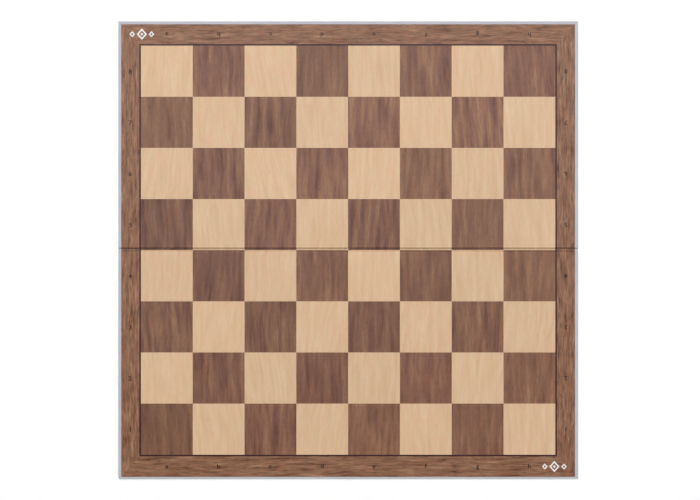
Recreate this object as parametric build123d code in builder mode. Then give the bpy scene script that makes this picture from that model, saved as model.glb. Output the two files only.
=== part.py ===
"""Quad-fold cardboard chessboard: four greyboard panels, backing paper, printed label and paper hinges.

The board lies flat and open, printed face up. X runs from file a to file h, Y from the near player to the
far one, Z up. The origin is the centre of the underside. Millimetres.

The cross fold runs along X at Y = 0. Its paper is at the bottom of the gap between the panels, so the far
panels fold up and over, face to face. The centre fold runs along Y at X = 0 on the near side of the cross
fold. Its paper is at the top of the gap, so the two halves fold down, back to back. On the far side of the
cross fold the centre is slit.

A panel or a strip is named by side, -1 for left and 1 for right, and end, -1 for near and 1 for far.
"""

import os

from build123d import *

# Label: the squares, the line round them and the border
files = 8
ranks = 8
file_pitch = 55.0
rank_pitch = 54.3
line_width = 1.7
side_border_width = 19.15
end_border_width = 21.35

# Margin of backing paper round the label, and how far the label and its squares sit off the board's middle
side_margin = 3.15
end_margin = 2.4
label_shift = -0.85
field_shift = -0.5

# Layers
greyboard = 1.75
cover_paper = 0.15
label_paper = 0.2
turn_in = 14.0

# Folds
face_clearance = 0.2
slit_width = 0.8
tab_clearance = 0.5

# Corner ornament: a large lozenge between two small ones, as distances from the end of the border strip
lozenge_width = 11.0
lozenge_height = 12.0
small_lozenge_width = 6.0
small_lozenge_height = 6.5
lozenge_pitch = 10.2
ornament_inset = 21.85

# Worked out from the sizes above
hinge_paper = cover_paper + label_paper
thickness = greyboard + hinge_paper
label_bottom = thickness - label_paper
backing_top = label_bottom - cover_paper
half_gap = greyboard + face_clearance / 2
half_slit = slit_width / 2
half_field = files * file_pitch / 2
line_x = half_field + line_width
half_label = line_x + side_border_width
half_width = half_label + side_margin
half_field_depth = ranks * rank_pitch / 2
half_label_depth = half_field_depth + line_width + end_border_width
half_depth = half_label_depth + end_margin
field_reach = {end: half_field_depth + end * field_shift for end in (-1, 1)}
line_reach = {end: field_reach[end] + line_width for end in (-1, 1)}
label_reach = {end: half_label_depth + end * label_shift for end in (-1, 1)}
tab_end = half_gap - tab_clearance
touch = 1e-6


def quarter(side, end, x_in, x_out, y_in, y_out):
    """Return the rectangle (x0, x1, y0, y1) in one quarter of the board, from distances to the two folds."""
    return (*sorted((side * x_in, side * x_out)), *sorted((end * y_in, end * y_out)))


def overlap(first, second):
    """Return the rectangle that two rectangles share, or None."""
    x0 = max(first[0], second[0])
    x1 = min(first[1], second[1])
    y0 = max(first[2], second[2])
    y1 = min(first[3], second[3])
    if x1 - x0 < touch or y1 - y0 < touch:
        return None
    return (x0, x1, y0, y1)


def add_block(rectangle, bottom, top):
    """Add a block over a rectangle, from one height to another, to the piece being built."""
    x0, x1, y0, y1 = rectangle
    with BuildSketch(Plane.XY.offset(bottom)) as outline:
        with Locations(((x0 + x1) / 2, (y0 + y1) / 2)):
            Rectangle(x1 - x0, y1 - y0)
    extrude(outline.sketch, amount=top - bottom)


def finish_piece(piece, name):
    """Label a finished piece and write it as one STEP file."""
    piece.part.label = name
    export_step(piece.part, f"parts/{name}.step")


def squares(dark):
    """Return the rectangles of all dark or all light squares. The near left corner square is dark."""
    found = []
    for column in range(files):
        for row in range(ranks):
            if ((column + row) % 2 == 0) == dark:
                x0 = column * file_pitch - half_field
                y0 = row * rank_pitch - field_reach[-1]
                found.append((x0, x0 + file_pitch, y0, y0 + rank_pitch))
    return found


def field_line():
    """Return the four rectangles of the line round the field. The side lines take the corners."""
    return [
        (-line_x, -half_field, -line_reach[-1], line_reach[1]),
        (half_field, line_x, -line_reach[-1], line_reach[1]),
        (-half_field, half_field, -line_reach[-1], -field_reach[-1]),
        (-half_field, half_field, field_reach[1], line_reach[1]),
    ]


def side_border(side):
    """Return the corners of the left or right border strip, mitred at both ends."""
    return [
        (side * half_label, -label_reach[-1]),
        (side * half_label, label_reach[1]),
        (side * line_x, line_reach[1]),
        (side * line_x, -line_reach[-1]),
    ]


def end_border(end):
    """Return the corners of the near or far border strip, mitred at both ends."""
    return [
        (-half_label, end * label_reach[end]),
        (half_label, end * label_reach[end]),
        (line_x, end * line_reach[end]),
        (-line_x, end * line_reach[end]),
    ]


def draw_ornament(side, end, mode):
    """Draw the three lozenges of a corner's ornament in the sketch being built."""
    x = side * (half_label - ornament_inset)
    y = end * (label_reach[end] + line_reach[end]) / 2
    lozenges = (
        (0.0, lozenge_width, lozenge_height),
        (-lozenge_pitch, small_lozenge_width, small_lozenge_height),
        (lozenge_pitch, small_lozenge_width, small_lozenge_height),
    )
    for offset, width, height in lozenges:
        with Locations((x + offset, y)):
            Polygon(
                (-width / 2, 0),
                (0, -height / 2),
                (width / 2, 0),
                (0, height / 2),
                mode=mode,
            )


def make_print(name, rectangles, face, bottom, turned_edge=None):
    """Make one colour of the label on one body: what falls on the body's face, and what turns down its edge."""
    with BuildPart() as piece:
        for rectangle in rectangles:
            shared = overlap(rectangle, face)
            if shared is None:
                continue
            add_block(shared, bottom, bottom + label_paper)
            if turned_edge is None:
                continue
            turned = overlap(shared, turned_edge)
            if turned is not None:
                add_block(turned, cover_paper, bottom)
    finish_piece(piece, name)


def make_border(name, outline, face, bottom, turned_edge=None, ornament=None):
    """Make what falls on one body's face of a mitred border strip, less a corner's ornament."""
    x0, x1, y0, y1 = face
    with BuildPart() as piece:
        with BuildSketch(Plane.XY.offset(bottom)):
            Polygon(*outline, align=None)
            with Locations(((x0 + x1) / 2, (y0 + y1) / 2)):
                Rectangle(x1 - x0, y1 - y0, mode=Mode.INTERSECT)
            if ornament is not None:
                draw_ornament(*ornament, Mode.SUBTRACT)
        extrude(amount=label_paper)
        if turned_edge is not None:
            across = [x for x, y in outline]
            turned = overlap((min(across), max(across), y0, y1), turned_edge)
            add_block(turned, cover_paper, bottom)
    finish_piece(piece, name)


def make_ornament(name, side, end):
    """Make a corner's ornament, let into the border."""
    with BuildPart() as piece:
        with BuildSketch(Plane.XY.offset(label_bottom)):
            draw_ornament(side, end, Mode.ADD)
        extrude(amount=label_paper)
    finish_piece(piece, name)


def make_board(name, side, end):
    """Make one greyboard panel, stepped down round the outer edges for the turned-in backing paper."""
    x_in = half_gap + cover_paper
    y_in = half_gap + label_paper
    x_out = half_width - cover_paper
    y_out = half_depth - cover_paper
    x_step = half_width - turn_in
    y_step = half_depth - turn_in
    with BuildPart() as piece:
        add_block(quarter(side, end, x_in, x_out, y_in, y_out), cover_paper, backing_top)
        add_block(quarter(side, end, x_in, x_step, y_in, y_step), backing_top, label_bottom)
    finish_piece(piece, name)


def make_cover(name, side, end):
    """Make the backing paper of one panel."""
    y_in = half_gap + label_paper
    underside = quarter(side, end, half_gap, half_width, half_gap, half_depth)
    side_wall = quarter(side, end, half_width - cover_paper, half_width, half_gap, half_depth)
    end_wall = quarter(side, end, half_gap, half_width, half_depth - cover_paper, half_depth)
    centre_wall = quarter(side, end, half_gap, half_gap + cover_paper, y_in, half_depth)
    fold_margin = quarter(side, end, half_label, half_width, half_gap, y_in)
    side_turn_in = quarter(side, end, half_width - turn_in, half_width, y_in, half_depth)
    end_turn_in = quarter(side, end, half_gap, half_width, half_depth - turn_in, half_depth)
    slit_lip = quarter(side, end, half_slit, half_gap, half_gap, half_depth)
    with BuildPart() as piece:
        add_block(underside, 0, cover_paper)
        for wall in (side_wall, end_wall, centre_wall, fold_margin):
            add_block(wall, cover_paper, label_bottom)
        for turned in (side_turn_in, end_turn_in):
            add_block(turned, backing_top, label_bottom)
        if end > 0:
            add_block(slit_lip, backing_top, label_bottom)
    finish_piece(piece, name)


def make_panel(name, side, end, ornament):
    """Make the nodes of one panel: board, backing and the label's colours."""
    x_in = half_gap if end < 0 else half_slit
    face = quarter(side, end, x_in, half_label, half_gap, label_reach[end])
    edge = quarter(side, end, half_gap, half_label, half_gap, half_gap + label_paper)
    corner = (side, end) if ornament else None
    make_board(f"{name}_board", side, end)
    make_cover(f"{name}_cover", side, end)
    make_print(f"{name}_light_squares", squares(False), face, label_bottom, edge)
    make_print(f"{name}_dark_squares", squares(True), face, label_bottom, edge)
    make_print(f"{name}_field_line", field_line(), face, label_bottom, edge)
    make_border(f"{name}_side_border", side_border(side), face, label_bottom, edge, corner)
    make_border(f"{name}_end_border", end_border(end), face, label_bottom, None, corner)
    if ornament:
        make_ornament(f"{name}_ornament", side, end)


def make_cross_fold(name, side):
    """Make the nodes of one half of the cross fold: paper at the bottom of the gap."""
    cover = (*sorted((side * half_gap, side * half_width)), -half_gap, half_gap)
    margin = (*sorted((side * half_label, side * half_width)), -half_gap, half_gap)
    face = (*sorted((side * half_gap, side * half_label)), -half_gap, half_gap)
    with BuildPart() as piece:
        add_block(cover, 0, cover_paper)
        add_block(margin, cover_paper, 2 * cover_paper)
    finish_piece(piece, f"{name}_cover")
    make_print(f"{name}_light_squares", squares(False), face, cover_paper)
    make_print(f"{name}_dark_squares", squares(True), face, cover_paper)
    make_print(f"{name}_field_line", field_line(), face, cover_paper)
    make_border(f"{name}_border", side_border(side), face, cover_paper)


def make_centre_fold(name):
    """Make the nodes of the centre fold: paper at the top of the gap, with a tab over the cross fold."""
    face = (-half_gap, half_gap, -label_reach[-1], tab_end)
    with BuildPart() as piece:
        add_block((-half_gap, half_gap, -half_depth, tab_end), backing_top, label_bottom)
    finish_piece(piece, f"{name}_cover")
    make_print(f"{name}_light_squares", squares(False), face, label_bottom)
    make_print(f"{name}_dark_squares", squares(True), face, label_bottom)
    make_print(f"{name}_field_line", field_line(), face, label_bottom)
    make_border(f"{name}_border", end_border(-1), face, label_bottom)


os.makedirs("parts", exist_ok=True)

make_panel("near_left", -1, -1, ornament=False)
make_panel("near_right", 1, -1, ornament=True)
make_panel("far_left", -1, 1, ornament=True)
make_panel("far_right", 1, 1, ornament=False)
make_cross_fold("left_fold", -1)
make_cross_fold("right_fold", 1)
make_centre_fold("centre_fold")
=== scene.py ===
"""Looks of the quad-fold cardboard chessboard: printed label, cover paper, ink and greyboard round the
CAD frame.

Lengths are metres. X runs from file a to file h, Y from the near player to the far one, Z up. A panel is
named by its side, -1 left or 1 right, and its end, -1 near or 1 far. Shapes are made in one quarter of
the board, where U is the distance from the centre fold and V the distance from the cross fold, and are
then turned to their side and end.
"""

import math

import bpy
import numpy as np
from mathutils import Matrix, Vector


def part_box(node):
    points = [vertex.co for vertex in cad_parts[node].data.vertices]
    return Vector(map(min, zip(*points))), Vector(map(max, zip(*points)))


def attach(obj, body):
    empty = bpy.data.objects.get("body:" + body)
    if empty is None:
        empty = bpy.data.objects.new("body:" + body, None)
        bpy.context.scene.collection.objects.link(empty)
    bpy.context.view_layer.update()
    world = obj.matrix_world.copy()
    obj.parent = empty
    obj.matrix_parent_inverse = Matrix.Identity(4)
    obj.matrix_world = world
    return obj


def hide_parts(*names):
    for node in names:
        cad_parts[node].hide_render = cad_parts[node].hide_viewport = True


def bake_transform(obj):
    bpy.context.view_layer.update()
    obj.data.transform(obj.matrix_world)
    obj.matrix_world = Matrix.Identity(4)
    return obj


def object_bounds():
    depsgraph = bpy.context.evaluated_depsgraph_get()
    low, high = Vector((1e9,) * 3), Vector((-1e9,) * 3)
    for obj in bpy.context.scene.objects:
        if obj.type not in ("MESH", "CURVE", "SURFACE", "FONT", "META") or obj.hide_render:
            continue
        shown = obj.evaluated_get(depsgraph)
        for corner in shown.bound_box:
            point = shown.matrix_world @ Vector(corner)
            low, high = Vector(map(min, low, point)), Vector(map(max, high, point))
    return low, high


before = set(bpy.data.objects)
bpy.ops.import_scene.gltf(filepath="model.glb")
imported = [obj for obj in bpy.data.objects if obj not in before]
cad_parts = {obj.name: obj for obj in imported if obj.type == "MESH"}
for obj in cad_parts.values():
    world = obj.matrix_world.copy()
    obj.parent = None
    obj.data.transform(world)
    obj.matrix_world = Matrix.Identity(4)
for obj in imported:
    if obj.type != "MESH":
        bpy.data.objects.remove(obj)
cad_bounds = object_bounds()

REST_POSITION = "rest_position"
MM = 0.001
SIDE_NAMES = {-1: "left", 1: "right"}
END_NAMES = {-1: "near", 1: "far"}
PANELS = [(side, end) for end in (-1, 1) for side in (-1, 1)]
FILES = 8
RANKS = 8

# Where the folds, edges, borders and layers lie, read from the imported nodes
HALF_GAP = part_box("near_right_cover")[0].x
HALF_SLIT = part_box("far_right_cover")[0].x
HALF_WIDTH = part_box("near_right_cover")[1].x
HALF_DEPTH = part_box("far_right_cover")[1].y
LINE_X, LABEL_X = (corner.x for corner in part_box("near_right_side_border"))
FIELD_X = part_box("near_right_light_squares")[1].x
FIELD_Y = {-1: -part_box("near_left_dark_squares")[0].y, 1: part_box("far_left_light_squares")[1].y}
LINE_Y = {-1: -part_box("near_left_field_line")[0].y, 1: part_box("far_left_field_line")[1].y}
LABEL_Y = {-1: -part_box("near_left_end_border")[0].y, 1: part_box("far_left_end_border")[1].y}
FILE_PITCH = 2 * FIELD_X / FILES
RANK_PITCH = (FIELD_Y[-1] + FIELD_Y[1]) / RANKS
TAB_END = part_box("centre_fold_cover")[1].y
TOP = cad_bounds[1].z
LABEL_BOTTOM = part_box("near_left_end_border")[0].z
COVER_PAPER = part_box("near_left_side_border")[0].z
FOLD_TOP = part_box("left_fold_light_squares")[1].z
LABEL_PAPER = TOP - LABEL_BOTTOM
BACKING_TOP = LABEL_BOTTOM - COVER_PAPER

# The slit's lips lie closer together than the CAD pieces do. The print in the cross fold lies a little
# lower, so that the closed panels' printed edges stay clear of it.
LIP_EDGE = 0.25 * HALF_SLIT
FOLD_PRINT_TOP = FOLD_TOP - 0.02 * MM

# Finer shapes than the CAD pieces have. SUPPORT is how far beyond a rounding the next grid line lies, so
# that the rest stays level.
TURN_IN = 14 * MM
EDGE_ROUND = 0.5 * MM
CORNER_ROUND = 0.55 * MM
FOLD_ROUND = 0.7 * MM
BEND_LENGTH = 0.6 * MM
ARC_STEPS = 6
BEND_STEPS = 12
SUPPORT = 0.3 * MM
SHARP_DEGREES = 35
SAME_PLACE = 1e-9
SLIVER = 1e-6

# Ink. The letters stand a little nearer to the field than the middle of the border is, and the numbers a
# little low.
INK = 0.03 * MM
DIGIT_HEIGHT = 4.7 * MM
CHARACTER_WEIGHT = 0.02
CHARACTER_STEPS = 4
CHARACTER_STRETCH = 1.12
LETTER_INSET = 0.6 * MM
NUMBER_DROP = 0.3 * MM
LARGE_WIDTH = 11 * MM
LARGE_STROKE = 1.5 * MM
SMALL_SIZE = (6 * MM, 6.5 * MM)
SMALL_STROKE = 1.2 * MM
CENTRE_SIZE = (3 * MM, 3.4 * MM)
CENTRE_HOLE = (0.1 * MM, 0.1 * MM)

# Painted shade along the folds, standing in for the shade at the foot of the groove's wall: its line lies
# this far inside the fold's edge, and the print is multiplied by these tints there, a weaker one on maple
FOLD_SHADE_INSET = 0.4 * MM
FOLD_SHADE_TINT = (0.68, 0.5, 0.36, 1.0)
MAPLE_FOLD_SHADE_TINT = (1.0, 0.93, 0.86, 1.0)

# Light on a level sheet in the studio, relative to white, and the gloss on the print
LIGHT_SHOWN = 1.1
GLOSS_SHOWN = 0.022


# ---------------------------------------------------------------- shapes

def closed_sheet(upper, lower):
    """A sheet between an upper and a lower grid of points, with a wall of quads round the rim.

    The quads are turned outwards by the sign of the volume: the sum over the quads of the first corner
    times the cross product of the next two, and of the last two.
    """
    rows, columns = upper.shape[:2]
    count = rows * columns
    index = np.arange(count).reshape(rows, columns)
    corners = (index[:-1, :-1], index[1:, :-1], index[1:, 1:], index[:-1, 1:])
    face = np.stack(corners, axis=-1).reshape(-1, 4)
    rim = np.concatenate([index[0, :-1], index[:-1, -1], index[-1, :0:-1], index[:0:-1, 0]])
    following = np.roll(rim, -1)
    wall = np.stack([rim, following, following + count, rim + count], axis=-1)
    quads = np.concatenate([face, face[:, ::-1] + count, wall])
    points = np.concatenate([upper.reshape(-1, 3), lower.reshape(-1, 3)])
    a, b, c, d = (points[quads[:, k]] for k in range(4))
    volume = np.sum(a * (np.cross(b, c) + np.cross(c, d)))
    return points, quads if volume > 0 else quads[:, ::-1]


def level_sheet(across, along, low, high):
    """A level sheet over a grid of U and V distances, from one height to another."""
    upper = np.stack([across, along, np.full_like(across, high)], axis=-1)
    lower = np.stack([across, along, np.full_like(across, low)], axis=-1)
    return closed_sheet(upper, lower)


def slab(u, v, low, high):
    """A level sheet over a rectangle, with grid lines at the given U and V distances."""
    across, along = np.meshgrid(np.asarray(u, float), np.asarray(v, float))
    return level_sheet(across, along, low, high)


def rows_from(start, stop):
    """V distances of the grid lines from start to stop: where start is the fold's edge, close together
    along its rounding, at the radius times one minus the cosine of even angles, and one more that keeps
    the rest level."""
    if start > HALF_GAP + SAME_PLACE:
        return np.array([start, stop])
    angles = np.linspace(0, math.pi / 2, ARC_STEPS + 1)
    rounded = HALF_GAP + FOLD_ROUND * (1 - np.cos(angles))
    return np.concatenate([rounded, [HALF_GAP + FOLD_ROUND + SUPPORT, stop]])


def rounded_at_fold(sheet):
    """Round a panel's edge at the cross fold. A point lies a share t of the radius short of the
    rounding's end. It drops by the radius times one minus the root of one minus t squared, times its
    share of the panel's height."""
    points, quads = sheet
    points = points.copy()
    share = np.clip(1 - (points[:, 1] - HALF_GAP) / FOLD_ROUND, 0, 1)
    height = np.clip((points[:, 2] - COVER_PAPER) / (TOP - COVER_PAPER), 0, 1)
    points[:, 2] -= FOLD_ROUND * (1 - np.sqrt(1 - share ** 2)) * height
    return points, quads


def turned(sheet, side, end):
    """Turn a sheet made in the far right quarter to its own side and end, with its faces still outwards."""
    points, quads = sheet
    return points * (side, end, 1), quads if side * end > 0 else quads[:, ::-1]


def ring_band(outer, inner, low, high):
    """A flat closed band between two outlines with the same number of corners, from one height to
    another."""
    corners = len(outer)
    levels = [(outer, high), (inner, high), (inner, low), (outer, low)]
    points = np.concatenate([np.column_stack([line, np.full(corners, z)]) for line, z in levels])
    index = np.arange(4 * corners).reshape(4, corners)
    following = np.roll(index, -1, axis=1)
    below = np.roll(index, -1, axis=0)
    quads = np.stack([index, following, np.roll(following, -1, axis=0), below], axis=-1).reshape(-1, 4)
    return points, quads


def keep_rest_position(mesh):
    """Copy the points of a finished mesh to an attribute, which the materials read, so that the print
    bends with the paper."""
    points = np.empty(3 * len(mesh.vertices))
    mesh.vertices.foreach_get("co", points)
    mesh.attributes.new(REST_POSITION, "FLOAT_VECTOR", "POINT").data.foreach_set("vector", points)


def make_piece(name, sheets, material, replaced=()):
    """Join closed sheets into one mesh with its material and the nodes that it stands for."""
    starts = np.cumsum([0] + [len(points) for points, _ in sheets[:-1]])
    points = np.concatenate([points for points, _ in sheets])
    quads = np.concatenate([quads + start for (_, quads), start in zip(sheets, starts)])
    mesh = bpy.data.meshes.new(name)
    mesh.from_pydata(points.tolist(), [], quads.tolist())
    mesh.polygons.foreach_set("use_smooth", np.ones(len(quads), bool))
    mesh.set_sharp_from_angle(angle=math.radians(SHARP_DEGREES))
    mesh.materials.append(material)
    keep_rest_position(mesh)
    piece = bpy.data.objects.new(name, mesh)
    bpy.context.scene.collection.objects.link(piece)
    if replaced:
        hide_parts(*replaced)
    return piece


# ---------------------------------------------------------------- the label

def is_dark(column, row):
    """The near left corner square is dark, and the colours alternate."""
    return (column + row) % 2 == 0


def square_areas(dark, side, low, high):
    """U and Y limits of the squares of one colour on one side of the board, cut to a stretch of Y."""
    areas = []
    for column in range(FILES // 2):
        for row in range(RANKS):
            file = FILES // 2 + column if side > 0 else FILES // 2 - 1 - column
            bottom = max(row * RANK_PITCH - FIELD_Y[-1], low)
            top = min((row + 1) * RANK_PITCH - FIELD_Y[-1], high)
            if is_dark(file, row) == dark and top - bottom > SLIVER:
                areas.append((column * FILE_PITCH, (column + 1) * FILE_PITCH, bottom, top))
    return areas


def panel_label(u, v_start, v_stop):
    """One area of the label on a panel: a level sheet with its edge at the fold rounded, and if it starts
    at the fold, the paper that goes down the panel's edge there."""
    sheets = [rounded_at_fold(slab(u, rows_from(v_start, v_stop), LABEL_BOTTOM, TOP))]
    if v_start <= HALF_GAP + SAME_PLACE:
        wall = slab(u, [HALF_GAP, HALF_GAP + LABEL_PAPER], COVER_PAPER, LABEL_BOTTOM)
        sheets.append(rounded_at_fold(wall))
    return sheets


def inner_edge(end):
    """U distance where a panel's label starts: at the centre fold's strip, or at the slit, where the cut
    paper's lips lie closer together than the CAD pieces do."""
    return HALF_GAP if end < 0 else LIP_EDGE


def panel_squares(dark, side, end):
    """The squares of one colour on one panel."""
    limits = (-LABEL_Y[-1], -HALF_GAP) if end < 0 else (HALF_GAP, LABEL_Y[1])
    sheets = []
    for u_start, u_stop, bottom, top in square_areas(dark, side, *limits):
        v_start, v_stop = sorted((abs(bottom), abs(top)))
        sheets += panel_label([max(u_start, inner_edge(end)), u_stop], v_start, v_stop)
    return sheets


def panel_line(end):
    """The dark line round the field on one panel. Its side strip takes the corner."""
    return [
        *panel_label([FIELD_X, LINE_X], HALF_GAP, LINE_Y[end]),
        *panel_label([inner_edge(end), FIELD_X], FIELD_Y[end], LINE_Y[end]),
    ]


def panel_side_border(end):
    """The border beside the field. Its last row runs from the line's corner to the label's corner, the
    mitre."""
    u = np.array([LINE_X, LABEL_X])
    across, along = np.meshgrid(u, rows_from(HALF_GAP, LINE_Y[end]))
    along[-1] = (LINE_Y[end], LABEL_Y[end])
    wall = slab(u, [HALF_GAP, HALF_GAP + LABEL_PAPER], COVER_PAPER, LABEL_BOTTOM)
    return [rounded_at_fold(level_sheet(across, along, LABEL_BOTTOM, TOP)), rounded_at_fold(wall)]


def panel_end_border(end):
    """The border beyond the field's end. Its outer column runs out along the mitre."""
    across = np.array([[inner_edge(end), LINE_X], [inner_edge(end), LABEL_X]])
    along = np.array([[LINE_Y[end]] * 2, [LABEL_Y[end]] * 2])
    return [level_sheet(across, along, LABEL_BOTTOM, TOP)]


# ---------------------------------------------------------------- cover paper and greyboard

def wrapped_edge():
    """Cover paper round a panel's two outer edges. The section is a quarter circle up from the underside,
    the edge, and a quarter circle on to the top. It is carried along the side, round the corner and along
    the end: a point lies at the path's anchor plus its outward direction times the corner's radius less
    the inset."""
    angles = np.linspace(0, math.pi / 2, ARC_STEPS + 1)
    far_end = HALF_DEPTH - CORNER_ROUND
    side_rows = rows_from(HALF_GAP, far_end)
    centre_u = HALF_WIDTH - CORNER_ROUND
    anchors = [(centre_u, v) for v in side_rows] + [(centre_u, far_end)] * ARC_STEPS + [(HALF_GAP, far_end)]
    turns = np.concatenate([np.zeros(len(side_rows) - 1), angles, [math.pi / 2]])
    outward = np.column_stack([np.cos(turns), np.sin(turns)])
    surfaces = []
    for inset in (0, COVER_PAPER):
        radius = EDGE_ROUND - inset
        insets = np.concatenate([EDGE_ROUND - radius * np.sin(angles), EDGE_ROUND - radius * np.cos(angles)])
        low = EDGE_ROUND - radius * np.cos(angles)
        high = LABEL_BOTTOM - EDGE_ROUND + radius * np.sin(angles)
        heights = np.concatenate([low, high])
        plan = np.array(anchors)[:, None] + outward[:, None] * (CORNER_ROUND - insets)[None, :, None]
        tall = np.broadcast_to(heights[None, :, None], (*plan.shape[:2], 1))
        surfaces.append(np.concatenate([plan, tall], axis=-1))
    return closed_sheet(*surfaces)


def fold_plug():
    """Cover paper that closes the wrapped edge at the cross fold. Its top and bottom follow the wrap's
    inside: the edge radius in from the label and the underside, plus the inner radius times the cosine of
    even angles."""
    radius = EDGE_ROUND - COVER_PAPER
    angles = np.linspace(0, math.pi / 2, ARC_STEPS + 1)[:-1]
    u = HALF_WIDTH - EDGE_ROUND + radius * np.sin(angles)
    across, along = np.meshgrid(u, [HALF_GAP, HALF_GAP + LABEL_PAPER])
    rise = np.broadcast_to(radius * np.cos(angles), across.shape)
    upper = np.stack([across, along, LABEL_BOTTOM - EDGE_ROUND + rise], axis=-1)
    lower = np.stack([across, along, EDGE_ROUND - rise], axis=-1)
    return closed_sheet(upper, lower)


def panel_cover(end):
    """The cover paper of one panel: underside, wrapped outer edges, turn-ins, the walls at the folds and,
    on a far panel, the lip along the slit."""
    u_edge = HALF_WIDTH - EDGE_ROUND
    v_edge = HALF_DEPTH - EDGE_ROUND
    u_turn = HALF_WIDTH - TURN_IN
    v_turn = HALF_DEPTH - TURN_IN
    wall_rows = [HALF_GAP, HALF_GAP + LABEL_PAPER]
    sheets = [
        slab([HALF_GAP, u_edge], [HALF_GAP, v_edge], 0, COVER_PAPER),
        wrapped_edge(),
        fold_plug(),
        slab([u_turn, u_edge], rows_from(HALF_GAP, v_edge), BACKING_TOP, LABEL_BOTTOM),
        slab([HALF_GAP, u_turn], [v_turn, v_edge], BACKING_TOP, LABEL_BOTTOM),
        slab([HALF_GAP, HALF_GAP + COVER_PAPER], [wall_rows[1], v_edge], COVER_PAPER, BACKING_TOP),
        slab([LABEL_X, u_edge], wall_rows, COVER_PAPER, BACKING_TOP),
    ]
    if end > 0:
        sheets.append(slab([LIP_EDGE, HALF_GAP], rows_from(HALF_GAP, HALF_DEPTH), BACKING_TOP, LABEL_BOTTOM))
    return [rounded_at_fold(sheet) for sheet in sheets]


def panel_board():
    """One greyboard panel, lower by a sheet of cover paper under the turn-ins. Its outer edges are
    rounded: the height changes by the radius less the root of the radius squared minus the rest of the
    way in, squared."""
    radius = EDGE_ROUND - COVER_PAPER
    angles = np.linspace(0, math.pi / 2, ARC_STEPS + 1)
    way_in = radius * (1 - np.cos(angles))
    u = np.concatenate([[HALF_GAP + COVER_PAPER], (HALF_WIDTH - COVER_PAPER - way_in)[::-1]])
    v = np.concatenate([rows_from(HALF_GAP, HALF_DEPTH / 2)[1:], (HALF_DEPTH - COVER_PAPER - way_in)[::-1]])
    across, along = np.meshgrid(u, v[v >= HALF_GAP + LABEL_PAPER])
    short_u = np.clip(across - (HALF_WIDTH - COVER_PAPER - radius), 0, radius)
    short_v = np.clip(along - (HALF_DEPTH - COVER_PAPER - radius), 0, radius)
    drop = 2 * radius - np.sqrt(radius ** 2 - short_u ** 2) - np.sqrt(radius ** 2 - short_v ** 2)
    upper = np.stack([across, along, BACKING_TOP - drop], axis=-1)
    lower = np.stack([across, along, COVER_PAPER + np.minimum(drop, radius)], axis=-1)
    raised_u = [HALF_GAP + COVER_PAPER, HALF_WIDTH - TURN_IN]
    raised_v = [HALF_GAP + FOLD_ROUND, HALF_DEPTH - TURN_IN]
    raised = slab(raised_u, raised_v, BACKING_TOP, LABEL_BOTTOM)
    return [rounded_at_fold(closed_sheet(upper, lower)), raised]


# ---------------------------------------------------------------- folds

def bend_columns(start, stop):
    """Grid lines of a strip from start towards stop: even over BEND_LENGTH, then one at the end."""
    return np.concatenate([start + np.linspace(0, BEND_LENGTH, BEND_STEPS + 1), [stop]])


def centre_strip(areas, low, high):
    """Half of the centre fold's strip over some stretches of Y, from the panel's edge to the middle."""
    columns = HALF_GAP - bend_columns(0, HALF_GAP)
    return [slab(columns[::-1], [bottom, top], low, high) for bottom, top in areas]


def make_centre_fold(side, prints):
    """One half of the centre fold: cover paper and print that lie level from the panel's edge to the middle
    of the strip, with close grid lines by the edge.
    """
    squares = {dark: [] for dark in (True, False)}
    for dark, found in squares.items():
        for u_start, _, bottom, top in square_areas(dark, side, -LABEL_Y[-1], TAB_END):
            if u_start == 0:
                found.append((bottom, top))
    layers = [
        ("cover", [(-HALF_DEPTH, TAB_END)], BACKING_TOP, LABEL_BOTTOM, "cover_paper"),
        ("light_squares", squares[False], LABEL_BOTTOM, TOP, "light_print"),
        ("dark_squares", squares[True], LABEL_BOTTOM, TOP, "dark_print"),
        ("field_line", [(-LINE_Y[-1], -FIELD_Y[-1])], LABEL_BOTTOM, TOP, "line_print"),
        ("border", [(-LABEL_Y[-1], -LINE_Y[-1])], LABEL_BOTTOM, TOP, "border_print"),
    ]
    for part, areas, low, high, slot in layers:
        sheets = [turned(sheet, side, 1) for sheet in centre_strip(areas, low, high)]
        name = f"centre_fold_{SIDE_NAMES[side]}_{part}"
        material = prints["end_border" if part == "border" else part]
        piece = make_piece(name, sheets, material, [f"centre_fold_{part}"])
        if side < 0:
            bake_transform(piece)
        else:
            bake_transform(piece)


def make_cross_fold_cover(side, prints):
    """The cover paper under one half of the cross fold, in two pieces, each level from a panel's edge to the
    middle of the strip, with close grid lines by the edge. The margin has a second layer."""
    fold = f"{SIDE_NAMES[side]}_fold"
    for end in (-1, 1):
        rows = HALF_GAP - bend_columns(0, HALF_GAP)
        sheets = [
            slab([HALF_GAP, HALF_WIDTH], rows[::-1], 0, COVER_PAPER),
            slab([LABEL_X, HALF_WIDTH], rows[::-1], COVER_PAPER, 2 * COVER_PAPER),
        ]
        sheets = [turned(sheet, side, end) for sheet in sheets]
        name = f"{fold}_{END_NAMES[end]}_cover"
        piece = make_piece(name, sheets, prints["cover"], [f"{fold}_cover"])
        if end < 0:
            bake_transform(piece)
        else:
            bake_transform(piece)


def make_cross_fold_label(side, prints):
    """The print on the floor of one half of the cross fold. It lies a little below the hinge lines, so
    that the panels' printed edges don't press into it when the fold is closed."""
    fold = f"{SIDE_NAMES[side]}_fold"
    whole = [-HALF_GAP, HALF_GAP]
    areas = {
        "light_squares": square_areas(False, side, *whole),
        "dark_squares": square_areas(True, side, *whole),
        "field_line": [(FIELD_X, LINE_X, *whole)],
        "border": [(LINE_X, LABEL_X, *whole)],
    }
    for part, found in areas.items():
        sheets = []
        for u_start, u_stop, bottom, top in found:
            floor = slab([max(u_start, HALF_GAP), u_stop], [bottom, top], COVER_PAPER, FOLD_PRINT_TOP)
            sheets.append(turned(floor, side, 1))
        material = prints["side_border" if part == "border" else part]
        piece = make_piece(f"{fold}_{part}_print", sheets, material, [f"{fold}_{part}"])
        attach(piece, fold)


# ---------------------------------------------------------------- ink

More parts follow.
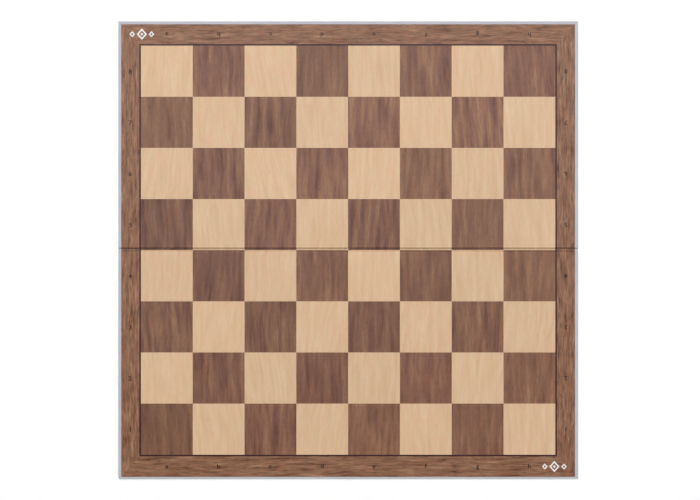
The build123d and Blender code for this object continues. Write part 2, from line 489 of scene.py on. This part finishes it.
def lozenge(x, y, width, height):
    """The four corners of a lozenge, counter-clockwise."""
    return np.array([(x + width / 2, y), (x, y + height / 2), (x - width / 2, y), (x, y - height / 2)])


def make_ornament(side, end, ink):
    """A corner's ornament in white ink: a lozenge frame with a small lozenge in it, between two small
    frames."""
    panel = f"{END_NAMES[end]}_{SIDE_NAMES[side]}"
    low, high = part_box(f"{panel}_ornament")
    x, y = (low.x + high.x) / 2, (low.y + high.y) / 2
    height = high.y - low.y
    pitch = (high.x - low.x - SMALL_SIZE[0]) / 2
    frames = [
        (x, (LARGE_WIDTH, height), LARGE_STROKE),
        (x - pitch, SMALL_SIZE, SMALL_STROKE),
        (x + pitch, SMALL_SIZE, SMALL_STROKE),
    ]
    sheets = []
    for centre, (width, tall), stroke in frames:
        slope = math.hypot(width, tall)
        inner = (width - 2 * stroke * slope / tall, tall - 2 * stroke * slope / width)
        outline = lozenge(centre, y, width, tall)
        sheets.append(ring_band(outline, lozenge(centre, y, *inner), TOP, TOP + INK))
    heart = ring_band(lozenge(x, y, *CENTRE_SIZE), lozenge(x, y, *CENTRE_HOLE), TOP, TOP + INK)
    sheets.append(heart)
    piece = make_piece(f"{panel}_ornament_ink", sheets, ink, [f"{panel}_ornament"])
    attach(piece, panel)


def character_mesh(character, size):
    """Points and faces of one character as a thin closed body: centred in X by its own box, stretched in
    X, and standing on Y = 0."""
    curve = bpy.data.curves.new("character", "FONT")
    curve.body = character
    curve.size = size
    curve.offset = CHARACTER_WEIGHT * size
    curve.extrude = INK / 2
    curve.resolution_u = CHARACTER_STEPS
    holder = bpy.data.objects.new("character", curve)
    bpy.context.scene.collection.objects.link(holder)
    bpy.context.view_layer.update()
    mesh = bpy.data.meshes.new_from_object(holder.evaluated_get(bpy.context.evaluated_depsgraph_get()))
    points = np.zeros(3 * len(mesh.vertices))
    mesh.vertices.foreach_get("co", points)
    points = points.reshape(-1, 3)
    faces = [tuple(polygon.vertices) for polygon in mesh.polygons]
    bpy.data.objects.remove(holder)
    bpy.data.curves.remove(curve)
    bpy.data.meshes.remove(mesh)
    points[:, 0] -= (points[:, 0].min() + points[:, 0].max()) / 2
    points[:, 0] *= CHARACTER_STRETCH
    return points, faces


def make_coordinates(side, end, ink, size, half_height):
    """The letters and numbers on one panel's border. Those on the far and right borders are turned to be
    read from there."""
    placed = []
    for k in range(FILES // 2):
        column = FILES // 2 + k if side > 0 else FILES // 2 - 1 - k
        x = (column + 0.5) * FILE_PITCH - FIELD_X
        y = end * (LINE_Y[end] + LABEL_Y[end]) / 2
        placed.append(("abcdefgh"[column], x, y - end * LETTER_INSET, end > 0))
        row = RANKS // 2 + k if end > 0 else RANKS // 2 - 1 - k
        y = (row + 0.5) * RANK_PITCH - FIELD_Y[-1]
        placed.append((str(row + 1), side * (LINE_X + LABEL_X) / 2, y - NUMBER_DROP, side > 0))
    all_points = []
    all_faces = []
    count = 0
    for character, x, y, upside_down in placed:
        points, faces = character_mesh(character, size)
        points[:, 1] -= half_height
        if upside_down:
            points[:, :2] *= -1
        points += (x, y, TOP + INK / 2)
        all_points.append(points)
        all_faces += [tuple(v + count for v in face) for face in faces]
        count += len(points)
    panel = f"{END_NAMES[end]}_{SIDE_NAMES[side]}"
    mesh = bpy.data.meshes.new(f"{panel}_coordinates")
    mesh.from_pydata(np.concatenate(all_points).tolist(), [], all_faces)
    mesh.materials.append(ink)
    keep_rest_position(mesh)
    piece = bpy.data.objects.new(f"{panel}_coordinates", mesh)
    bpy.context.scene.collection.objects.link(piece)
    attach(piece, panel)


# ---------------------------------------------------------------- nodes

class Nodes:
    """A short way to add nodes to a material or a node group."""

    def __init__(self, tree):
        self.tree = tree

    def add(self, kind, inputs=(), **settings):
        """Add a node, set its properties, and link or set its inputs, given by name or number."""
        node = self.tree.nodes.new(kind)
        for key, value in settings.items():
            setattr(node, key, value)
        for key, value in dict(inputs).items():
            if isinstance(value, bpy.types.NodeSocket):
                self.tree.links.new(value, node.inputs[key])
            else:
                node.inputs[key].default_value = value
        return node

    def math(self, operation, *values):
        return self.add("ShaderNodeMath", enumerate(values), operation=operation).outputs[0]

    def vector(self, operation, *values):
        return self.add("ShaderNodeVectorMath", enumerate(values), operation=operation).outputs[0]

    def split(self, vector):
        return self.add("ShaderNodeSeparateXYZ", {0: vector}).outputs

    def combine(self, x, y, z):
        return self.add("ShaderNodeCombineXYZ", {0: x, 1: y, 2: z}).outputs[0]

    def noise(self, vector, scale, detail=2.0, roughness=0.5):
        """Noise from 0 to 1 with most of its values spread over that range."""
        inputs = {"Vector": vector, "Scale": scale, "Detail": detail, "Roughness": roughness}
        raw = self.add("ShaderNodeTexNoise", inputs).outputs[0]
        return self.spread(raw, 0.28, 0.72)

    def spread(self, value, low, high, out_low=0.0, out_high=1.0):
        inputs = {0: value, 1: low, 2: high, 3: out_low, 4: out_high}
        return self.add("ShaderNodeMapRange", inputs, clamp=True).outputs[0]

    def soft_step(self, value, low, high):
        inputs = {0: value, 1: low, 2: high, 3: 0.0, 4: 1.0}
        return self.add("ShaderNodeMapRange", inputs, clamp=True, interpolation_type="SMOOTHSTEP").outputs[0]

    def mix(self, factor, first, second, blend="MIX"):
        node = self.add("ShaderNodeMix", data_type="RGBA", blend_type=blend)
        for key, value in ((0, factor), (6, first), (7, second)):
            if isinstance(value, bpy.types.NodeSocket):
                self.tree.links.new(value, node.inputs[key])
            else:
                node.inputs[key].default_value = value
        return node.outputs[2]

    def lighten(self, color, value):
        """Multiply a colour by a value."""
        return self.vector("SCALE", color, (0, 0, 0), (0, 0, 0), value)

    def ramp(self, factor, stops):
        """A colour ramp through (position, colour) stops."""
        node = self.add("ShaderNodeValToRGB", {0: factor})
        elements = node.color_ramp.elements
        while len(elements) < len(stops):
            elements.new(0.5)
        for element, (position, color) in zip(elements, stops):
            element.position = position
            element.color = color
        return node.outputs[0]


def tone(red, green, blue):
    """Base colour that shows as a display colour from 0 to 255 in the studio: the display colour made
    linear, less the gloss on it, over the light on it."""
    display = np.array([red, green, blue]) / 255
    linear = np.where(display <= 0.04045, display / 12.92, ((display + 0.055) / 1.055) ** 2.4)
    base = np.clip((linear - GLOSS_SHOWN) / LIGHT_SHOWN, 0.004, 0.9)
    return (*base.tolist(), 1.0)


def new_group(name, inputs, outputs):
    """An empty node group with named inputs, as (kind, default), and named outputs, as kinds."""
    group = bpy.data.node_groups.new(name, "ShaderNodeTree")
    for label, (kind, default) in inputs.items():
        socket = group.interface.new_socket(label, in_out="INPUT", socket_type=f"NodeSocket{kind}")
        socket.default_value = default
    for label, kind in outputs.items():
        group.interface.new_socket(label, in_out="OUTPUT", socket_type=f"NodeSocket{kind}")
    nodes = Nodes(group)
    return group, nodes, nodes.add("NodeGroupInput").outputs, nodes.add("NodeGroupOutput").inputs


def print_cell_group():
    """Which square a point of the field is on: a random colour of the square's own, whose three channels
    seed its figure, and its lightness."""
    group, nodes, given, out = new_group(
        "print_cell",
        {"Position": ("Vector", (0, 0, 0))},
        {"Seed": "Color", "Lightness": "Float"},
    )
    from_corner = nodes.vector("ADD", given["Position"], (FIELD_X, FIELD_Y[-1], 0))
    x, y, _ = nodes.split(from_corner)
    column = nodes.math("FLOOR", nodes.math("DIVIDE", x, FILE_PITCH))
    row = nodes.math("FLOOR", nodes.math("DIVIDE", y, RANK_PITCH))
    cell = nodes.combine(column, row, 7.0)
    seed = nodes.add("ShaderNodeTexWhiteNoise", {"Vector": cell}, noise_dimensions="3D").outputs["Color"]
    group.links.new(seed, out["Seed"])
    group.links.new(nodes.spread(nodes.split(seed)[0], 0.0, 1.0, 0.95, 1.05), out["Lightness"])
    return group


def wood_figure_group():
    """Printed wood with its grain along Y, in millimetres: wide bands, fine streaks and short dark pores.
    The place is turned a little by Slant, moved by the seed and waved by a slow noise before it is
    stretched along the grain. The height is added to the distance along the grain, so that the figure
    runs on down a folded edge."""
    group, nodes, given, out = new_group(
        "wood_figure",
        {
            "Place": ("Vector", (0, 0, 0)),
            "Seed": ("Vector", (0, 0, 0)),
            "Slant": ("Float", 0.0),
            "Band Width": ("Float", 7.0),
            "Streak Width": ("Float", 1.0),
            "Pore Width": ("Float", 0.45),
            "Wave": ("Float", 2.0),
        },
        {"Bands": "Float", "Streaks": "Float", "Pores": "Float", "Hue": "Float"},
    )
    turn = {"Vector": given["Place"], "Angle": given["Slant"]}
    moved = nodes.add("ShaderNodeVectorRotate", turn).outputs[0]
    moved = nodes.vector("MULTIPLY_ADD", given["Seed"], (613.0, 389.0, 97.0), moved)
    slow = nodes.noise(nodes.vector("MULTIPLY", moved, (1 / 34, 1 / 60, 1.0)), 1.0, 1.0)
    wave = nodes.math("MULTIPLY", nodes.math("SUBTRACT", slow, 0.5), given["Wave"])
    moved = nodes.vector("ADD", moved, nodes.combine(wave, 0.0, 0.0))
    x, y, z = nodes.split(moved)
    along = nodes.math("ADD", y, z)

    def stretched(width, ratio):
        length = nodes.math("MULTIPLY", width, ratio)
        return nodes.combine(nodes.math("DIVIDE", x, width), nodes.math("DIVIDE", along, length), 0.0)

    links = group.links
    links.new(nodes.noise(stretched(given["Band Width"], 11.0), 1.0, 3.0, 0.5), out["Bands"])
    links.new(nodes.noise(stretched(given["Streak Width"], 22.0), 1.0, 5.0, 0.68), out["Streaks"])
    pores = nodes.noise(stretched(given["Pore Width"], 14.0), 1.0, 1.0)
    links.new(nodes.soft_step(pores, 0.66, 0.95), out["Pores"])
    hue_width = nodes.math("MULTIPLY", given["Band Width"], 0.6)
    hue_place = nodes.vector("ADD", stretched(hue_width, 7.0), (31.0, 17.0, 5.0))
    links.new(nodes.noise(hue_place, 1.0, 1.0), out["Hue"])
    return group


def satin_film_group():
    """The laminated film over the print: a fine unevenness and slow waves, and a roughness that follows
    them."""
    group, nodes, given, out = new_group(
        "satin_film",
        {"Place": ("Vector", (0, 0, 0)), "Roughness": ("Float", 0.27)},
        {"Height": "Float", "Roughness": "Float"},
    )
    fine = nodes.noise(given["Place"], 1.6, 3.0, 0.6)
    slow = nodes.noise(given["Place"], 0.045, 1.0)
    height = nodes.math("ADD", nodes.math("MULTIPLY", fine, 0.3), nodes.math("MULTIPLY", slow, 0.7))
    change = nodes.math("MULTIPLY", nodes.math("SUBTRACT", height, 0.5), 0.12)
    group.links.new(height, out["Height"])
    group.links.new(nodes.math("ADD", given["Roughness"], change), out["Roughness"])
    return group


def fold_painted_shade_group():
    """Painted shade along the folds, standing in for the shade in the grooves: bands beside the cross fold,
    and on the near side beside the centre fold, broken up by noise. Position is in metres."""
    group, nodes, given, out = new_group(
        "fold_painted_shade",
        {"Position": ("Vector", (0, 0, 0)), "Width": ("Float", 0.8 * MM)},
        {"Painted Shade": "Float"},
    )
    x, y, _ = nodes.split(given["Position"])

    def beside(distance):
        # Painted shade: each band lies at the foot of a groove's wall, where the groove is in shade
        foot = HALF_GAP - FOLD_SHADE_INSET
        away = nodes.math("ABSOLUTE", nodes.math("SUBTRACT", nodes.math("ABSOLUTE", distance), foot))
        share = nodes.math("DIVIDE", away, given["Width"])
        return nodes.math("SUBTRACT", 1.0, nodes.soft_step(share, 0.2, 1.0))

    near_side = nodes.math("LESS_THAN", y, 0.0)
    centre = nodes.math("MULTIPLY", nodes.math("MULTIPLY", beside(x), near_side), 0.25)
    place = nodes.vector("SCALE", given["Position"], (0, 0, 0), (0, 0, 0), 1 / MM)
    broken = nodes.spread(nodes.noise(place, 0.35, 3.0), 0.0, 1.0, 0.6, 1.0)
    group.links.new(nodes.math("MULTIPLY", nodes.math("MAXIMUM", beside(y), centre), broken), out["Painted Shade"])
    return group


def edge_wear_group():
    """Rubbed paper at the board's outer edges and corners: strongest at the very edge, wider at the
    corners, and broken up by noise. Position is in metres."""
    group, nodes, given, out = new_group(
        "edge_wear",
        {"Position": ("Vector", (0, 0, 0)), "Reach": ("Float", 1.2 * MM)},
        {"Wear": "Float"},
    )
    x, y, _ = nodes.split(given["Position"])
    side = nodes.math("SUBTRACT", HALF_WIDTH, nodes.math("ABSOLUTE", x))
    end = nodes.math("SUBTRACT", HALF_DEPTH, nodes.math("ABSOLUTE", y))
    nearest = nodes.math("DIVIDE", nodes.math("MINIMUM", side, end), given["Reach"])
    corner_reach = nodes.math("MULTIPLY", given["Reach"], 6.0)
    corner = nodes.math("DIVIDE", nodes.math("MAXIMUM", side, end), corner_reach)
    rubbed = nodes.math("SUBTRACT", 1.0, nodes.soft_step(nearest, 0.0, 1.0))
    at_corner = nodes.math("SUBTRACT", 1.0, nodes.soft_step(corner, 0.2, 1.0))
    place = nodes.vector("SCALE", given["Position"], (0, 0, 0), (0, 0, 0), 1 / MM)
    broken = nodes.noise(place, 0.5, 4.0, 0.65)
    amount = nodes.math("MULTIPLY_ADD", at_corner, 0.6, 0.4)
    group.links.new(nodes.math("MULTIPLY", nodes.math("MULTIPLY", rubbed, broken), amount), out["Wear"])
    return group


def embossed_paper_group():
    """Cover paper embossed with a fine linen: two sets of ribs at right angles, softened by noise, and
    fibres."""
    group, nodes, given, out = new_group(
        "embossed_paper",
        {"Place": ("Vector", (0, 0, 0)), "Rib Pitch": ("Float", 0.55)},
        {"Height": "Float", "Shade": "Float", "Fibres": "Float"},
    )
    x, y, _ = nodes.split(given["Place"])
    drift = nodes.math("MULTIPLY", nodes.noise(given["Place"], 0.8, 2.0), 0.5)

    def ribs(distance):
        turns = nodes.math("DIVIDE", nodes.math("MULTIPLY", distance, 2 * math.pi), given["Rib Pitch"])
        return nodes.math("SINE", nodes.math("ADD", turns, drift))

    linen = nodes.math("MULTIPLY", nodes.math("ADD", ribs(x), ribs(y)), 0.25)
    grain = nodes.noise(given["Place"], 2.2, 3.0, 0.6)
    group.links.new(nodes.math("ADD", linen, nodes.math("MULTIPLY", grain, 0.4)), out["Height"])
    group.links.new(nodes.noise(given["Place"], 0.06, 3.0), out["Shade"])
    fibre_place = nodes.vector("MULTIPLY", given["Place"], (2.6, 0.5, 1.0))
    group.links.new(nodes.soft_step(nodes.noise(fibre_place, 1.0, 2.0), 0.7, 1.0), out["Fibres"])
    return group


# ---------------------------------------------------------------- materials

class Material:
    """A new material with its Principled BSDF, the position at rest in metres and the place in
    millimetres."""

    def __init__(self, name, **constants):
        self.material = bpy.data.materials.new(name)
        self.material.use_nodes = True
        self.tree = self.material.node_tree
        self.nodes = Nodes(self.tree)
        self.shader = self.tree.nodes["Principled BSDF"]
        for socket, value in constants.items():
            self.shader.inputs[socket.replace("_", " ")].default_value = value
        self.position = self.nodes.add("ShaderNodeAttribute", attribute_name=REST_POSITION).outputs["Vector"]
        self.place = self.nodes.vector("SCALE", self.position, (0, 0, 0), (0, 0, 0), 1 / MM)

    def group(self, group, **inputs):
        """Place a node group, with its inputs given by name, and return its outputs."""
        named = {key.replace("_", " "): value for key, value in inputs.items()}
        return self.nodes.add("ShaderNodeGroup", named, node_tree=group).outputs

    def finish(self, color, roughness, height, distance):
        """Link the colour, the roughness and a height that a Bump node turns into the normal."""
        bump = self.nodes.add("ShaderNodeBump", {"Strength": 1.0, "Distance": distance, "Height": height})
        self.tree.links.new(color, self.shader.inputs["Base Color"])
        self.tree.links.new(roughness, self.shader.inputs["Roughness"])
        self.tree.links.new(bump.outputs[0], self.shader.inputs["Normal"])
        return self.material


def laminated(name, groups, color_of, fold_shade_tint=FOLD_SHADE_TINT):
    """A laminated print: the colour that color_of gives, darkened along the folds by painted shade, under
    the satin film."""
    made = Material(name, Specular_IOR_Level=0.38)
    color = color_of(made)
    # Painted shade along the folds: the colour is multiplied by the tint where this mask is strong
    crease = made.group(groups["fold_painted_shade"], Position=made.position)["Painted Shade"]
    color = made.nodes.mix(crease, color, made.nodes.mix(1.0, color, fold_shade_tint, "MULTIPLY"))
    film = made.group(groups["satin_film"], Place=made.place)
    return made.finish(color, film["Roughness"], film["Height"], 0.006 * MM)


def field_place(made):
    """The place of a point in millimetres from the field's near left corner."""
    from_corner = made.nodes.vector("ADD", made.position, (FIELD_X, FIELD_Y[-1], 0))
    return made.nodes.vector("SCALE", from_corner, (0, 0, 0), (0, 0, 0), 1 / MM)


def maple_color(groups):
    """Maple: pale tan bands that turn pinkish and yellowish, with faint slanting streaks and few pores."""
    def color_of(made):
        nodes = made.nodes
        cell = made.group(groups["print_cell"], Position=made.position)
        slant = nodes.spread(nodes.split(cell["Seed"])[1], 0.0, 1.0, -0.16, 0.16)
        figure = made.group(
            groups["wood_figure"], Place=field_place(made), Seed=cell["Seed"], Slant=slant,
            Band_Width=4.6, Streak_Width=0.9, Wave=3.0,
        )
        color = nodes.ramp(figure["Bands"], [(0.0, tone(211, 175, 139)), (0.5, tone(218, 185, 151)),
                                             (1.0, tone(225, 194, 162))])
        pinkish = nodes.spread(nodes.split(cell["Seed"])[2], 0.0, 1.0, 0.2, 1.0)
        pinkish = nodes.math("MULTIPLY", nodes.spread(figure["Hue"], 0.4, 1.0), pinkish)
        color = nodes.mix(pinkish, color, tone(223, 179, 147))
        color = nodes.mix(nodes.spread(figure["Hue"], 0.5, 0.0, 0.0, 0.5), color, tone(217, 187, 146))
        color = nodes.lighten(color, nodes.spread(figure["Streaks"], 0.0, 1.0, 0.93, 1.06))
        color = nodes.lighten(color, nodes.spread(figure["Pores"], 0.0, 1.0, 1.0, 0.93))
        return nodes.lighten(color, nodes.spread(cell["Lightness"], 0.95, 1.05, 0.975, 1.02))
    return color_of


def walnut_color(groups):
    """Walnut: purple-brown and tan-brown bands with darker streaks and short pores."""
    def color_of(made):
        nodes = made.nodes
        cell = made.group(groups["print_cell"], Position=made.position)
        slant = nodes.spread(nodes.split(cell["Seed"])[1], 0.0, 1.0, -0.06, 0.06)
        figure = made.group(
            groups["wood_figure"], Place=field_place(made), Seed=cell["Seed"], Slant=slant,
            Band_Width=6.5, Streak_Width=0.8, Wave=3.0,
        )
        color = nodes.ramp(figure["Bands"], [(0.0, tone(98, 66, 58)), (0.45, tone(131, 94, 78)),
                                             (1.0, tone(160, 121, 95))])
        color = nodes.mix(nodes.spread(figure["Hue"], 0.55, 1.0, 0.0, 0.7), color, tone(126, 90, 82))
        color = nodes.mix(nodes.spread(figure["Hue"], 0.45, 0.0, 0.0, 0.6), color, tone(146, 99, 78))
        warmth = nodes.split(cell["Seed"])[2]
        color = nodes.mix(nodes.spread(warmth, 0.4, 1.0, 0.0, 0.3), color, tone(142, 106, 80))
        color = nodes.mix(nodes.spread(warmth, 0.4, 0.0, 0.0, 0.22), color, tone(132, 90, 78))
        color = nodes.lighten(color, nodes.spread(figure["Streaks"], 0.0, 1.0, 0.72, 1.25))
        color = nodes.lighten(color, nodes.spread(figure["Pores"], 0.0, 1.0, 1.0, 0.7))
        return nodes.lighten(color, nodes.spread(cell["Lightness"], 0.95, 1.05, 0.84, 1.14))
    return color_of


def border_color(groups, along_x):
    """Walnut border strips with the grain along the strip: wavy and broad beyond the ends, straighter and
    finer beside the field."""
    def color_of(made):
        nodes = made.nodes
        x, y, z = nodes.split(made.place)
        place = nodes.combine(y, x, z) if along_x else made.place
        seed = (0.37, 0.81, 0.2) if along_x else (0.11, 0.52, 0.7)
        band_width, streak_width, wave = (3.2, 0.7, 4.5) if along_x else (2.4, 0.6, 2.0)
        figure = made.group(
            groups["wood_figure"], Place=place, Seed=seed, Slant=0.012, Band_Width=band_width,
            Streak_Width=streak_width, Pore_Width=0.75, Wave=wave,
        )
        color = nodes.ramp(figure["Bands"], [(0.0, tone(98, 62, 47)), (0.4, tone(138, 98, 77)),
                                             (0.75, tone(155, 115, 91)), (1.0, tone(178, 138, 110))])
        color = nodes.mix(nodes.spread(figure["Hue"], 0.55, 1.0, 0.0, 0.7), color, tone(156, 110, 90))
        color = nodes.mix(nodes.spread(figure["Hue"], 0.45, 0.0, 0.0, 0.7), color, tone(136, 108, 86))
        color = nodes.lighten(color, nodes.spread(figure["Streaks"], 0.0, 1.0, 0.5, 1.46))
        return nodes.lighten(color, nodes.spread(figure["Pores"], 0.0, 1.0, 1.0, 0.5))
    return color_of


def line_color(made):
    """The dark line: brown-black print with a faint unevenness."""
    uneven = made.nodes.noise(made.place, 0.4, 3.0)
    return made.nodes.mix(uneven, tone(58, 33, 25), tone(75, 45, 35))


def dark_ink(groups):
    """Dark brown ink of the letters and numbers, a little uneven."""
    return laminated("dark_ink", groups, lambda made: made.nodes.mix(
        made.nodes.noise(made.place, 1.2, 2.0), tone(54, 34, 27), tone(74, 50, 40)))


def white_ink(groups):
    """White ink of the ornaments, a little uneven."""
    return laminated("white_ink", groups, lambda made: made.nodes.mix(
        made.nodes.noise(made.place, 0.9, 3.0), tone(232, 230, 228), tone(245, 243, 240)))


def cover_material(groups):
    """Light blue-grey cover paper with its emboss, faint fibres and rubbed edges, and a crease at each
    lapped corner, where side and end lie equally far in."""
    made = Material("cover_paper")
    nodes = made.nodes
    paper = made.group(groups["embossed_paper"], Place=made.place)
    wear = made.group(groups["edge_wear"], Position=made.position)["Wear"]
    color = nodes.mix(paper["Shade"], tone(184, 184, 192), tone(193, 193, 200))
    color = nodes.mix(nodes.math("MULTIPLY", paper["Fibres"], 0.25), color, tone(222, 222, 224))
    color = nodes.mix(nodes.math("MULTIPLY", wear, 0.6), color, tone(226, 225, 224))
    x, y, _ = nodes.split(made.position)
    side = nodes.math("SUBTRACT", HALF_WIDTH, nodes.math("ABSOLUTE", x))
    end = nodes.math("SUBTRACT", HALF_DEPTH, nodes.math("ABSOLUTE", y))
    off_mitre = nodes.math("ABSOLUTE", nodes.math("SUBTRACT", side, end))
    lap = nodes.math("SUBTRACT", 1.0, nodes.soft_step(off_mitre, 0.05 * MM, 0.3 * MM))
    lap = nodes.math("MULTIPLY", lap, nodes.math("LESS_THAN", side, TURN_IN))
    color = nodes.mix(nodes.math("MULTIPLY", lap, 0.45), color, tone(120, 120, 126))
    roughness = nodes.spread(nodes.math("ADD", paper["Shade"], wear), 0.0, 2.0, 0.62, 0.8)
    height = nodes.math("SUBTRACT", paper["Height"], lap)
    return made.finish(color, roughness, height, 0.03 * MM)


def greyboard_material(groups):
    """Solid grey board: pressed waste paper with darker and lighter specks and long fibres."""
    made = Material("greyboard")
    nodes = made.nodes
    paper = made.group(groups["embossed_paper"], Place=made.place, Rib_Pitch=2.0)
    specks = nodes.noise(made.place, 1.4, 4.0, 0.7)
    color = nodes.mix(specks, tone(122, 118, 110), tone(166, 162, 152))
    color = nodes.mix(nodes.math("MULTIPLY", paper["Fibres"], 0.6), color, tone(192, 188, 178))
    roughness = nodes.spread(specks, 0.0, 1.0, 0.85, 0.95)
    return made.finish(color, roughness, specks, 0.05 * MM)


def floor_material():
    """Plain white paper floor with the faintest unevenness."""
    made = Material("floor_paper")
    uneven = made.nodes.noise(made.place, 0.01, 2.0)
    color = made.nodes.mix(uneven, (0.94, 0.94, 0.94, 1.0), (0.96, 0.96, 0.96, 1.0))
    roughness = made.nodes.spread(uneven, 0.0, 1.0, 0.88, 0.95)
    return made.finish(color, roughness, uneven, 0.001 * MM)


# ---------------------------------------------------------------- camera, light and floor

VIEW_WIDTH = 743.3 * MM
VIEW_CENTRE = (2.0 * MM, -0.3 * MM)
CAMERA_HEIGHT = 3.0
CAMERA_REACH = 20

# The floor's half width, how deep its underside lies, and how far its top lies below the board
FLOOR_HALF = 4.0
FLOOR_DEPTH = 0.02
FLOOR_DROP = 0.05 * MM

# Each softbox's place, the point that it looks at, its width, its height and its power in watts
SOFTBOXES = {
    "key_softbox": ((-1.1, 3.1, 3.3), (0, 0, 0), 2.0, 2.0, 140),
    "fill_softbox": ((1.8, -1.8, 3.0), (0, -0.2, 0), 1.8, 1.8, 38),
    "overhead_softbox": ((-0.1, 1.5, 3.6), (-0.1, 1.5, 0), 2.6, 3.2, 40),
}
SURROUND_STRENGTH = 0.29


def add_camera():
    """A long lens straight above the board, whose field is VIEW_WIDTH wide at the label."""
    data = bpy.data.cameras.new("camera")
    data.lens = data.sensor_width * (CAMERA_HEIGHT - TOP) / VIEW_WIDTH
    data.clip_end = CAMERA_REACH
    camera = bpy.data.objects.new("camera", data)
    camera.location = (*VIEW_CENTRE, CAMERA_HEIGHT)
    bpy.context.scene.collection.objects.link(camera)
    bpy.context.scene.camera = camera


def add_softbox(name, location, target, width, height, power):
    """A rectangular area light that looks at a point."""
    data = bpy.data.lights.new(name, "AREA")
    data.shape = "RECTANGLE"
    data.size = width
    data.size_y = height
    data.energy = power
    lamp = bpy.data.objects.new(name, data)
    lamp.location = location
    direction = Vector(target) - lamp.location
    lamp.rotation_euler = direction.to_track_quat("-Z", "Y").to_euler()
    bpy.context.scene.collection.objects.link(lamp)


def add_studio():
    """A white floor just under the board, three softboxes, the strongest beyond the far edge, and a pale
    surround."""
    edges = [-FLOOR_HALF, FLOOR_HALF]
    floor = slab(edges, edges, -FLOOR_DEPTH, -FLOOR_DROP)
    mesh = bpy.data.meshes.new("floor")
    mesh.from_pydata(floor[0].tolist(), [], floor[1].tolist())
    mesh.materials.append(floor_material())
    keep_rest_position(mesh)
    stage = bpy.data.objects.new("floor", mesh)
    bpy.context.scene.collection.objects.link(stage)
    for name, placed in SOFTBOXES.items():
        add_softbox(name, *placed)
    world = bpy.data.worlds.new("surround")
    world.use_nodes = True
    background = world.node_tree.nodes["Background"].inputs
    background["Color"].default_value = (1.0, 1.0, 1.0, 1.0)
    background["Strength"].default_value = SURROUND_STRENGTH
    bpy.context.scene.world = world
    bpy.context.scene.view_settings.view_transform = "Standard"


# ---------------------------------------------------------------- the board

def make_prints():
    """Every node group and material of the object, by the part of the board that it finishes."""
    groups = {
        "print_cell": print_cell_group(),
        "wood_figure": wood_figure_group(),
        "satin_film": satin_film_group(),
        "fold_painted_shade": fold_painted_shade_group(),
        "edge_wear": edge_wear_group(),
        "embossed_paper": embossed_paper_group(),
    }
    return {
        "light_squares": laminated("maple_print", groups, maple_color(groups), MAPLE_FOLD_SHADE_TINT),
        "dark_squares": laminated("walnut_print", groups, walnut_color(groups)),
        "side_border": laminated("side_border_print", groups, border_color(groups, along_x=False)),
        "end_border": laminated("end_border_print", groups, border_color(groups, along_x=True)),
        "field_line": laminated("line_print", groups, line_color),
        "dark_ink": dark_ink(groups),
        "white_ink": white_ink(groups),
        "cover": cover_material(groups),
        "board": greyboard_material(groups),
    }


def make_panel(side, end, prints):
    """All the pieces of one panel."""
    panel = f"{END_NAMES[end]}_{SIDE_NAMES[side]}"
    parts = [
        ("cover", panel_cover(end), "cover_paper"),
        ("board", panel_board(), "greyboard"),
        ("side_border", panel_side_border(end), "border_print"),
        ("end_border", panel_end_border(end), "border_print"),
        ("field_line", panel_line(end), "line_print"),
        ("light_squares", panel_squares(False, side, end), "light_print"),
        ("dark_squares", panel_squares(True, side, end), "dark_print"),
    ]
    for part, sheets, slot in parts:
        placed = [turned(sheet, side, end) for sheet in sheets]
        name = f"{panel}_{part}_finished"
        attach(make_piece(name, placed, prints[part], [f"{panel}_{part}"]), panel)


prints = make_prints()
digit_points, _ = character_mesh("8", 1.0)
digit_top = digit_points[:, 1].max()
character_size = DIGIT_HEIGHT / digit_top

for side, end in PANELS:
    make_panel(side, end, prints)
    make_coordinates(side, end, prints["dark_ink"], character_size, DIGIT_HEIGHT / 2)
for side in (-1, 1):
    make_cross_fold_cover(side, prints)
    make_cross_fold_label(side, prints)
    make_centre_fold(side, prints)
make_ornament(1, -1, prints["white_ink"])
make_ornament(-1, 1, prints["white_ink"])
add_camera()
add_studio()
